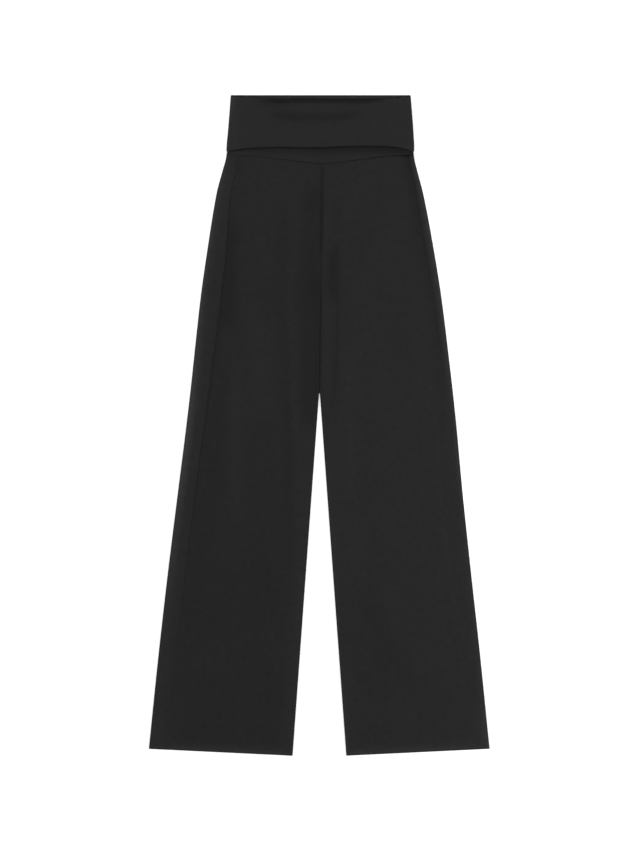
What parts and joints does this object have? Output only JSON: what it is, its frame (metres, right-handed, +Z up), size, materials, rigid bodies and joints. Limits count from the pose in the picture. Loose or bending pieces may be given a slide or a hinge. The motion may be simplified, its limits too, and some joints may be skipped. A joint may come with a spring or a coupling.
{
  "type": "wide-leg pull-on trousers with a fold-over waistband",
  "caption": "Plain wide-leg pull-on jersey trousers laid flat on their back, with a fold-over waistband turned down over a shallow V seam.",
  "frame": {"origin": "centre of the bounding box in plan, on the surface that the trousers lie on", "axes": "+X to the wearer's left, +Y towards the waist, +Z up, away from the surface; the front of the trousers faces +Z"},
  "size_m": [0.5507, 1.0694, 0.01],
  "materials": {
    "leg_jersey": "matt black stretch jersey, fine face loops, one ply",
    "waistband_jersey": "matt black stretch jersey, doubled"
  },
  "bodies": {
    "root": {"front_leg_left": "leg_jersey", "front_leg_right": "leg_jersey", "back_leg_left": "leg_jersey", "back_leg_right": "leg_jersey", "front_waistband": "waistband_jersey", "back_waistband": "waistband_jersey"}
  },
  "joints": []
}
